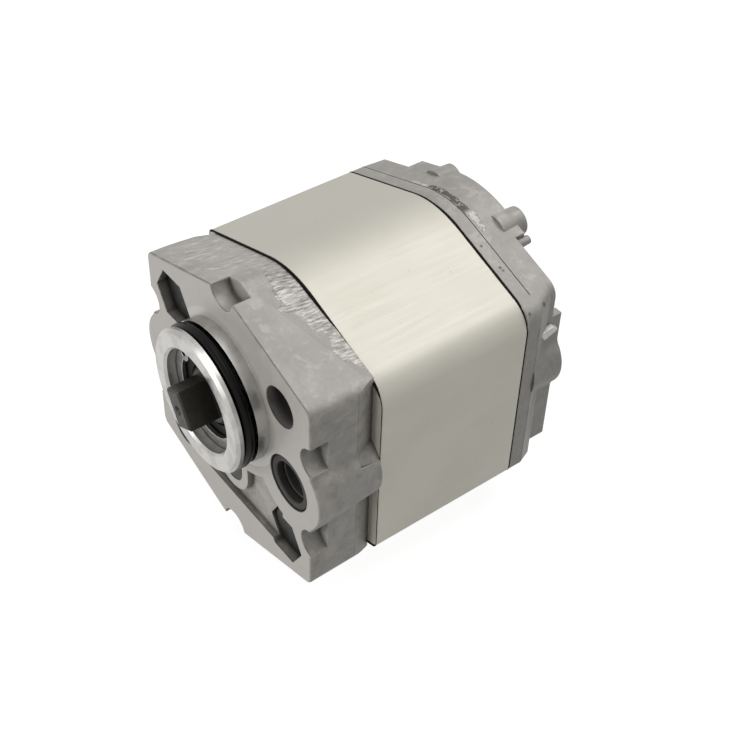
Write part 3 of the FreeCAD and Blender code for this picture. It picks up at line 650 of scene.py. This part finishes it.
@dataclass
class Studio:
    """A plain pale floor, a white surround and soft lamps.

    Each lamp has a name, a place, a side in metres and a power in watts.
    """

    floor_z: float = -0.0506
    floor_size: float = 8.0
    floor_shade: float = 0.22
    floor_glow: float = 0.92
    sky_light: float = 0.16
    aim: Triple = (0.0, 0.03, -0.01)
    lamps: tuple[tuple[str, Triple, float, float], ...] = (
        ("lamp_over", (0.02, 0.40, 0.79), 0.6, 3.6),
        ("lamp_front", (-0.10, -0.82, 0.28), 0.6, 3.9))

    def make(self) -> None:
        """Makes the floor, the world and the lamps."""
        self.make_floor()
        self.make_world()
        for lamp in self.lamps:
            self.make_lamp(*lamp)

    def seen(self, board: Board) -> Socket:
        """1 for the camera's rays, straight, mirrored or let through, and 0 for the others."""
        rays = board.add("LightPath").outputs
        return board.largest(rays["Is Camera Ray"], rays["Is Transmission Ray"],
                             rays["Is Glossy Ray"])

    def make_floor(self) -> None:
        """Makes the floor, which the camera and the metal see as white."""
        half = self.floor_size / 2
        mesh = bpy.data.meshes.new("studio_floor")
        mesh.from_pydata([(-half, -half, self.floor_z), (half, -half, self.floor_z),
                          (half, half, self.floor_z), (-half, half, self.floor_z)],
                         [], [(0, 1, 2, 3)])
        floor = linked("studio_floor", mesh)
        board = Board(bpy.data.materials.new("studio_floor"))
        mesh.materials.append(board.finish(
            Base_Color=(self.floor_shade,) * 3 + (1.0,), Roughness=0.9, Emission_Color=WHITE,
            Emission_Strength=board.times(self.seen(board), self.floor_glow)))

    def make_world(self) -> None:
        """Makes a world that looks white and lights the pump at a plain level."""
        world = bpy.data.worlds.new("studio_world")
        bpy.context.scene.world = world
        board = Board(world)
        level = board.ramp(self.seen(board), 0.0, 1.0, self.sky_light, 1.0)
        glow = board.add("Background", Color=WHITE, Strength=level)
        board.add("OutputWorld", i0=glow.outputs[0])

    def make_lamp(self, name: str, place: Triple, size: float,
                  power: float) -> None:
        """Makes one square lamp that faces the pump.

        Args:
            name: the lamp's name.
            place: where it hangs.
            size: its side in metres.
            power: its power in watts.
        """
        data = bpy.data.lights.new(name, "AREA")
        data.size, data.energy = size, power
        spot = Vector(place)
        turn = (Vector(self.aim) - spot).to_track_quat("-Z", "Y").to_matrix()
        linked(name, data).matrix_world = Matrix.Translation(spot) @ turn.to_4x4()


FINISHES = {
    "cast_aluminium": CastSkin("cast_skin"),
    "drawn_aluminium": DrawnSkin("drawn_skin"),
    "bearing_alloy": PlainMetal("bearing_alloy", (0.5, 0.5, 0.49, 1), (0.7, 0.7, 0.69, 1), 0.4,
                                0.8),
    "hardened_steel": PlainMetal("ground_steel", (0.30, 0.30, 0.29, 1), (0.5, 0.5, 0.49, 1), 0.38),
    "blackened_steel": PlainMetal("blackened_steel", (0.034, 0.032, 0.026, 1),
                                  (0.085, 0.082, 0.075, 1), 0.45, 0.5),
    "seal_steel": PlainMetal("seal_steel", (0.16, 0.16, 0.155, 1), (0.4, 0.4, 0.4, 1), 0.4),
    "spring_steel": PlainMetal("spring_steel", (0.34, 0.34, 0.33, 1), (0.7, 0.7, 0.69, 1), 0.32),
    "dark_steel": PlainMetal("dark_steel", (0.05, 0.05, 0.045, 1), (0.16, 0.157, 0.15, 1), 0.45),
    "bronze": PlainMetal("bush_bronze", (0.5, 0.36, 0.18, 1), (0.7, 0.55, 0.32, 1), 0.4),
    "black_rubber": SealRubber("black_rubber", (0.005, 0.0045, 0.004, 1), 0.3, 0.12),
    "dark_rubber": SealRubber("dark_rubber", (0.075, 0.071, 0.067, 1), 0.6, 0.15),
    "pale_plastic": SealRubber("pale_plastic", (0.55, 0.53, 0.48, 1), 0.5),
}
# painted shade: near-black beads laid where the seams lie in shade
SEAM_SHADE = SealRubber("seam_shade", (0.006, 0.006, 0.005, 1), 0.6, 0.1)
CHIPS = ChippedSkin("chipped_skin")
SHEARED = PlainMetal("sheared_metal", (0.86, 0.85, 0.83, 1), (0.9, 0.89, 0.87, 1), 0.5, 0.3, 3.0)


def whole_turn(steps: int = 72) -> Grid:
    """The angles of so many even steps round a circle."""
    return np.linspace(0, 2 * math.pi, steps, endpoint=False)


def unit(vectors: Grid) -> Grid:
    """The vectors at a length of 1."""
    return vectors / np.linalg.norm(vectors, axis=-1, keepdims=True)


def joined(*parts: object) -> Grid:
    """Points made from their parts, each spread over all rows and columns."""
    return np.stack(np.broadcast_arrays(*parts), axis=-1)


def shell(grid: Grid, rows: Rows) -> tuple[Grid, Grid]:
    """The points and triangles of one closed surface.

    Each four neighbours make two triangles. The columns always close. Where the rows are open,
    each end gets a fan to its own middle. The volume that the faces enclose is the sum of each
    triangle's triple product over six: where it comes out negative, the faces are turned.

    Args:
        grid: points by row and column.
        rows: whether the rows close into a ring.

    Returns:
        The points, and three point numbers for each triangle.
    """
    count, around = grid.shape[:2]
    points = grid.reshape(-1, 3)
    first = np.arange(around)
    after = (first + 1) % around
    row = np.arange(count if rows is Rows.CLOSED else count - 1)[:, None] * around
    next_row = (row + around) % (count * around)
    quads = joined(row + first, next_row + first, next_row + after, row + after).reshape(-1, 4)
    triangles = np.concatenate([quads[:, [0, 1, 2]], quads[:, [0, 2, 3]]])
    if rows is Rows.OPEN:
        middle, last = count * around, (count - 1) * around
        points = np.concatenate([points, grid[[0, -1]].mean(axis=1)])
        triangles = np.concatenate([triangles, joined(middle, first, after),
                                    joined(middle + 1, last + after, last + first)])
    corner = points[triangles]
    volume = np.einsum("ij,ij->i", corner[:, 0], np.cross(corner[:, 1], corner[:, 2])).sum() / 6
    return points, triangles if volume >= 0 else triangles[:, ::-1]


def surface_piece(name: str, grids: Sequence[Grid], rows: Rows, finish: Material) -> bpy.types.Object:
    """Makes a piece of the casing from one or more closed surfaces in millimetres.

    Args:
        name: the piece's name.
        grids: each surface's points by row and column.
        rows: whether the rows close into a ring.
        finish: its material.

    Returns:
        The new object.
    """
    shells = [shell(grid, rows) for grid in grids]
    starts = np.cumsum([0] + [len(points) for points, _ in shells[:-1]])
    points = np.concatenate([points for points, _ in shells])
    triangles = np.concatenate([faces + start for (_, faces), start in zip(shells, starts)])
    mesh = bpy.data.meshes.new(name)
    mesh.from_pydata((points * MM).tolist(), [], triangles.tolist())
    mesh.polygons.foreach_set("use_smooth", np.ones(len(triangles), dtype=bool))
    mesh.update()
    mesh.set_sharp_from_angle(angle=SHARP_FROM)
    mesh.materials.append(finish)
    piece = linked(name, mesh)
    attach(piece, "casing")
    LOG.info("%s made with %d triangles", name, len(triangles))
    return piece


def cloud(places: Grid, scale: float, seed: int) -> Grid:
    """A smooth random height between 0 and 1 at each place.

    It is the mean of twelve plane waves with random directions, lengths and phases, brought
    from its own range of about -0.6 to 0.6 into 0 to 1.

    Args:
        places: points in millimetres, with the last axis of three.
        scale: waves per millimetre.
        seed: which set of waves is used.

    Returns:
        One height for each point.
    """
    random = np.random.default_rng(seed)
    directions = unit(random.normal(size=(12, 3))) * scale * 2 * math.pi
    directions *= random.uniform(0.5, 1.8, (12, 1))
    waves = np.sin(places @ directions.T + random.uniform(0, 2 * math.pi, 12))
    return np.clip(0.5 + waves.mean(axis=-1) / 1.1, 0.0, 1.0)


@dataclass(frozen=True)
class BodyLine:
    """The housing's outline, seen along the shaft: straight sides and rounded corners."""

    half_width: float = 35.3
    offset: float = 36.2
    apex_radius: float = 27.0
    wide_radius: float = 8.0
    tight_radius: float = 1.8

    def points(self, count: int) -> tuple[Grid, Grid]:
        """Evenly spaced places round the outline.

        Each corner is an arc between its two sides, about a centre on the line that halves the
        corner, one radius over the sine of the half angle away from it. The arcs and the sides
        between them are then walked at equal steps.

        Args:
            count: how many places there are.

        Returns:
            The places and the outward directions there, as x and z.
        """
        apex = self.offset / math.cos(SLOPE)
        width = self.half_width
        shoulder = apex - width * math.tan(SLOPE)
        corners = np.array([(width, -shoulder), (width, shoulder), (0.0, apex),
                            (-width, shoulder), (-width, -shoulder), (0.0, -apex)])
        radii = np.array([self.tight_radius, self.wide_radius, self.apex_radius] * 2)
        before = unit(np.roll(corners, 1, axis=0) - corners)
        after = unit(np.roll(corners, -1, axis=0) - corners)
        half = np.arccos((before * after).sum(axis=1)) / 2
        middle = unit(before + after)
        centres = corners + middle * (radii / np.sin(half))[:, None]
        aim = np.arctan2(-middle[:, 1], -middle[:, 0])
        angle = aim[:, None] + np.linspace(-1, 1, 25) * (math.pi / 2 - half)[:, None]
        arcs = radii[:, None, None] * joined(np.cos(angle), np.sin(angle))
        walk = (centres[:, None, :] + arcs).reshape(-1, 2)
        walk = np.concatenate([walk, walk[:1]])
        length = np.concatenate([[0], np.cumsum(np.linalg.norm(np.diff(walk, axis=0), axis=1))])
        where = np.linspace(0, length[-1], count, endpoint=False)
        places = joined(*(np.interp(where, length, part) for part in walk.T))
        ahead = unit(np.roll(places, -1, axis=0) - np.roll(places, 1, axis=0))
        return places + np.array([0.0, FACE_CENTRE_Z]), joined(ahead[:, 1], -ahead[:, 0])


@dataclass
class SeamLines:
    """Dark beads round the housing's two seams and the rear band, standing in for their shade."""

    line: BodyLine = BodyLine()
    seams: tuple[tuple[str, float, float, float], ...] = (
        ("front_seam_line", 18.3, 0.27, 0.42), ("rear_seam_line", 61.0, 0.28, 0.6),
        ("rear_band_line", 65.0, 0.12, 0.16))
    steps: int = 900
    sunk: float = 0.62

    def make(self, finish: Material) -> None:
        """Lays each line.

        A line is a small circle carried round the outline: its centre lies a little inside, its
        first axis points outward and its second along the shaft. Its radius swings between its
        two values with a slow random height, is largest on the upper right slope and falls to
        about a third on the upright sides.

        Args:
            finish: the lines' material.
        """
        places, outward = self.line.points(self.steps)
        turn = whole_turn(10)
        for name, depth, thin, thick in self.seams:
            spots = joined(places[:, 0], depth, places[:, 1])
            right = np.clip(outward @ np.array([math.sin(SLOPE), math.cos(SLOPE)]) * 6 - 5, 0, 1)
            share = 0.65 * right + 0.35 * cloud(spots, 0.12, 3)
            level = np.clip(np.abs(outward[:, 1]) * 2.4 - 0.6, 0.35, 1.0)
            radius = ((thin + (thick - thin) * share) * level)[:, None]
            reach = radius * (np.cos(turn) - self.sunk)
            flat = places[:, None, :] + outward[:, None, :] * reach[..., None]
            grid = joined(flat[..., 0], depth + radius * np.sin(turn), flat[..., 1])
            surface_piece(name, [grid], Rows.CLOSED, finish)


@dataclass
class RearSkin:
    """Torn casting skin and the sheared gate on the rear cover.

    Each strip has its left and right end, its place along the shaft, its greatest half width
    and height, and the number of its random heights. The gate's corners are y and z.
    """

    band_back: float = 65.1
    plate_back: float = 70.0
    band_offset: float = 36.2
    rim_offset: float = 37.1
    band_apex_radius: float = 27.0
    rim_apex_radius: float = 30.0
    torn: tuple[tuple[float, ...], ...] = ((-8.6, 6.6, 65.95, 0.95, 0.16, 31),
                                           (-15.0, -8.0, 65.4, 0.5, 0.2, 41))
    chipped: tuple[tuple[float, ...], ...] = ((5.2, 12.2, 66.35, 0.9, 0.42, 53),)
    gate: tuple[Pair, ...] = ((66.9, 16.6), (71.1, 17.2), (72.9, 15.7), (68.5, 13.7))
    gate_foot: float = 32.2
    gate_face: float = 34.0
    run_out: float = 1.2
    sunk: float = 0.3

    def top(self, x: Grid, y: Grid) -> Grid:
        """The rear cover's height on its upper side.

        The outline is two slopes that meet in an arc. Its distance and the arc's radius grow
        evenly from the band to the rim.

        Args:
            x: the places across the pump.
            y: the places along the shaft.

        Returns:
            The height at each place.
        """
        share = np.clip((y - self.band_back) / (self.plate_back - self.band_back), 0, 1)
        offset = self.band_offset + (self.rim_offset - self.band_offset) * share
        radius = self.band_apex_radius + (self.rim_apex_radius - self.band_apex_radius) * share
        apex = offset / math.cos(SLOPE)
        arc = apex - radius / math.cos(SLOPE) + np.sqrt(np.maximum(radius ** 2 - x ** 2, 1.0))
        straight = apex - np.abs(x) * math.tan(SLOPE)
        return np.where(np.abs(x) < radius * math.sin(SLOPE), arc, straight) + FACE_CENTRE_Z

    def strip(self, start: float, end: float, middle: float, width: float, rise: float,
              seed: int) -> Grid:
        """A low, ragged strip across the upper side.

        Along the strip its half width and its height follow random heights and run out at both
        ends. Around it a flat ellipse is carried, whose upper half lies on the cover and whose
        lower half is sunk in it.

        Args:
            start: the strip's left end.
            end: its right end.
            middle: its place along the shaft.
            width: its greatest half width.
            rise: its greatest height.
            seed: which random heights it takes.

        Returns:
            The strip's points by row and column.
        """
        along = np.linspace(start, end, 260)
        flat = joined(along, 0.0, 0.0)
        taper = np.minimum(along - start, end - along) / self.run_out
        taper = np.sqrt(np.clip(taper, 0.0004, 1))
        half = 0.35 + 0.65 * cloud(flat, 0.28, seed) + 0.25 * cloud(flat, 1.3, seed + 1)
        half = width * taper * half
        centre = middle + 0.5 * (cloud(flat, 0.1, seed + 2) - 0.5)
        centre = centre + 0.25 * (cloud(flat, 0.9, seed + 3) - 0.5)
        turn = whole_turn(24)
        x = along[:, None]
        y = centre[:, None] + half[:, None] * np.cos(turn)
        height = 0.25 + 0.75 * cloud(joined(x, y, 0.0), 0.8, seed + 4)
        height = rise * taper[:, None] * height
        rising = np.sin(turn)
        lift = np.where(rising > 0, height * np.abs(rising) ** 0.6, self.sunk * rising)
        return joined(x, y, self.top(x, y) + lift)

    def stub(self) -> Grid:
        """The sheared gate: a low four-cornered stub with rounded corners on the right side.

        A superellipse runs round the patch between the four corners, which are mixed by its two
        parameters. It is carried outwards, shrinks a little and closes on a slightly uneven face.

        Returns:
            The stub's points by row and column.
        """
        turn = whole_turn()
        round_x, round_y = (np.sign(wave) * np.abs(wave) ** 0.28
                            for wave in (np.cos(turn), np.sin(turn)))
        levels = np.array([0.0, 0.35, 0.7, 0.9, 0.98, 1.0, 1.0, 1.0])[:, None]
        shrink = np.array([1.16, 1.08, 1.0, 0.97, 0.93, 0.86, 0.5, 0.15])[:, None]
        a, b = shrink * round_x, shrink * round_y
        share = joined((1 - a) * (1 + b), (1 + a) * (1 + b), (1 + a) * (1 - b),
                       (1 - a) * (1 - b)) / 4
        flat = share @ np.array(self.gate)
        x = self.gate_foot + (self.gate_face - self.gate_foot) * levels
        uneven = cloud(joined(x, flat[..., 0], flat[..., 1]), 0.45, 21) - 0.5
        x = x + np.where(levels > 0.8, 0.22, 0.0) * uneven
        return joined(x, flat[..., 0], flat[..., 1] + FACE_CENTRE_Z)

    def make(self, chips: Material, sheared: Material) -> None:
        """Makes the torn strips, the bright chips beside them and the gate.

        Args:
            chips: the torn skin's material.
            sheared: the gate's material.
        """
        for name, strips in (("torn_skin", self.torn), ("skin_chips", self.chipped)):
            surface_piece(name, [self.strip(*strip) for strip in strips], Rows.OPEN, chips)
        surface_piece("gate_stub", [self.stub()], Rows.OPEN, sheared)


@dataclass
class LandFlank:
    """The cast metal that runs out beside the apex land, down to the milled slope."""

    edge: float = 3.0
    front: float = 6.3
    back: float = 10.97
    land_height: float = 38.87
    land_fall: float = 0.028
    cut_height: float = 38.52
    cut_fall: float = 0.2067
    cut_slope: float = 0.275
    measured_at: float = 8.0
    least_width: float = 0.3
    spread: float = 3.2

    def make(self, finish: Material) -> None:
        """Makes the flank.

        Row by row along the shaft, the land's edge and the cut slope have their heights from
        two straight falls. Between them the height over the slope runs out as a smooth step
        over a few times its own size, and the section closes below the slope.

        Args:
            finish: the casting's material.
        """
        depth = np.linspace(self.front, self.back, 60)[:, None]
        land = self.land_height - self.land_fall * (depth - self.measured_at)
        cut = self.cut_height - self.cut_fall * (depth - self.measured_at)
        height = np.maximum(land - cut, 0.02)
        width = self.least_width + self.spread * height
        width = width * (0.85 + 0.3 * cloud(joined(self.edge, depth, land), 0.3, 71))
        share = np.linspace(0, 1, 24)[None, :]
        x = self.edge + width * share
        z = cut - self.cut_slope * (x - self.edge) + height * (1 - share) ** 2 * (1 + 2 * share)
        z[:, -1] -= 0.05
        inner = np.stack([x[:, -1], x[:, 0] - 0.1, x[:, 0] - 0.1], axis=1)
        below = np.stack([z[:, -1] - 0.4, z[:, -1] - 0.4, z[:, 0] - 0.06], axis=1)
        x = np.concatenate([x, inner], axis=1)
        z = np.concatenate([z, below], axis=1) + FACE_CENTRE_Z
        surface_piece("land_flank", [joined(x, depth, z)], Rows.OPEN, finish)


@dataclass
class Fasteners:
    """The two long screws in their hexagonal pockets, and their nuts."""

    places: tuple[Pair, ...] = ((-22.55, 10.95), (22.55, -31.45))
    flats: float = 13.0
    head_front: float = 2.4
    head_back: float = 7.7
    head_bevel: float = 0.9
    screw_radius: float = 4.0
    screw_end: float = 73.8
    thread_from: float = 60.0
    pitch: float = 1.25
    thread_depth: float = 0.68
    shank_share: float = 0.995
    nut_front: float = 66.0
    nut_back: float = 72.4
    rim_inset: float = 0.2
    bore_play: float = 0.02
    mouth_bevel: float = 0.45

    def hexagon(self, turn: Grid) -> tuple[Grid, Grid, float]:
        """A bevelled hexagon, seen along its axis.

        Its distance from the middle is half its flats over the cosine from a flat. The bevel is
        a cone that starts at a round rim a little inside the flats.

        Args:
            turn: the angle of each column.

        Returns:
            The hexagon's distance and the bevel's depth by column, and the rim's radius.
        """
        corner = self.flats / 2 / np.cos(np.mod(turn, math.pi / 3) - math.pi / 6)
        rim = self.flats / 2 - self.rim_inset
        steep = self.head_bevel / (self.flats / math.sqrt(3) - rim)
        return corner, np.maximum(corner - rim, 0.0) * steep, rim

    def carried(self, pairs: Sequence[tuple[object, object]], turn: Grid) -> list[Grid]:
        """Pairs of a radius and a depth carried round, as two grids by row and column."""
        return [np.stack([np.broadcast_to(value, turn.shape) for value in values])
                for values in zip(*pairs)]

    def placed(self, reach: Grid, depth: Grid, turn: Grid) -> list[Grid]:
        """A turned shape's points at both places."""
        return [joined(x + reach * np.cos(turn), depth, z + reach * np.sin(turn))
                for x, z in self.places]

    def screws(self) -> list[Grid]:
        """Both screws.

        A hexagonal head with a bevelled rim is followed by a round shank. Near its end the
        radius falls by a triangle wave of the depth over the pitch less the share of a turn,
        which is the thread, and the end tapers.

        Returns:
            A grid of points for each screw.
        """
        turn = whole_turn()
        corner, bevel, rim = self.hexagon(turn)
        shank = self.screw_radius * self.shank_share
        radii, depths = self.carried([
            (0.3, self.head_front), (rim * 0.8, self.head_front), (rim, self.head_front),
            (corner, self.head_front + bevel), (corner, self.head_back - 0.05),
            (corner - 0.05, self.head_back), (self.screw_radius + 0.25, self.head_back),
            (shank, self.head_back + 0.3)], turn)
        depth = np.arange(self.thread_from, self.screw_end + 0.01, self.pitch / 10)[:, None]
        phase = np.mod(depth / self.pitch - turn / (2 * math.pi), 1.0)
        wave = np.clip(1.35 - np.abs(phase * 2 - 1) * 1.7, 0.0, 1.0)
        run_in = np.clip((depth - self.thread_from) / 2.0, 0, 1)
        taper = self.screw_radius - np.clip(depth - self.screw_end + 0.9, 0, 1) * 0.9
        thread = np.minimum(shank - self.thread_depth * (1 - wave) * run_in, taper)
        depth = np.broadcast_to(depth, thread.shape)
        return self.placed(np.concatenate([radii, thread]), np.concatenate([depths, depth]), turn)

    def nuts(self) -> list[Grid]:
        """Both nuts.

        A closed outline is carried round: up the bore, out over the front face, along the
        flats, in over the bevelled rim and back to the bore.

        Returns:
            A grid of points for each nut.
        """
        turn = whole_turn()
        corner, bevel, rim = self.hexagon(turn)
        bore = self.screw_radius + self.bore_play
        mouth = bore + self.mouth_bevel
        return self.placed(*self.carried([
            (bore, self.nut_back - 0.5), (bore, self.nut_front + 0.5), (mouth, self.nut_front),
            (corner, self.nut_front), (corner, self.nut_back - bevel), (rim, self.nut_back),
            (mouth, self.nut_back)], turn), turn)

    def make(self, finish: Material) -> None:
        """Makes the screws and nuts in place of the plain solids.

        Args:
            finish: the steel's material.
        """
        screws = surface_piece("threaded_screws", self.screws(), Rows.OPEN, finish)
        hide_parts("assembly_bolts")
        nuts = surface_piece("hexagon_nuts", self.nuts(), Rows.CLOSED, finish)
        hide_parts("assembly_nuts")


@dataclass
class CastingSet:
    """The pump's solid pieces, which keep their shapes and get their finishes."""

    frame: dict

    def dress(self, made: dict[str, Material]) -> None:
        """Gives every solid the finish that its material slot names.

        Args:
            made: the finished materials by slot.
        """
        for part in self.frame["record"]["subparts"]:
            solid = self.frame["nodes"][part["node"]]
            solid.data.materials.clear()
            solid.data.materials.append(made[part["material_slot"]])
            LOG.info("%s wears %s", part["node"], part["material_slot"])


def main() -> None:
    """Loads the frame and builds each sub-assembly."""
    logging.basicConfig(level=logging.INFO)
    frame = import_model()
    bpy.context.scene.view_settings.view_transform = "Standard"
    PhotoCamera().make()
    Studio().make()
    made = {slot: finish.make() for slot, finish in FINISHES.items()}
    CastingSet(frame).dress(made)
    SeamLines().make(SEAM_SHADE.make())
    RearSkin().make(CHIPS.make(), SHEARED.make())
    LandFlank().make(made["cast_aluminium"])
    Fasteners().make(made["dark_steel"])
    bpy.context.view_layer.update()


if __name__ == "__main__":
    main()
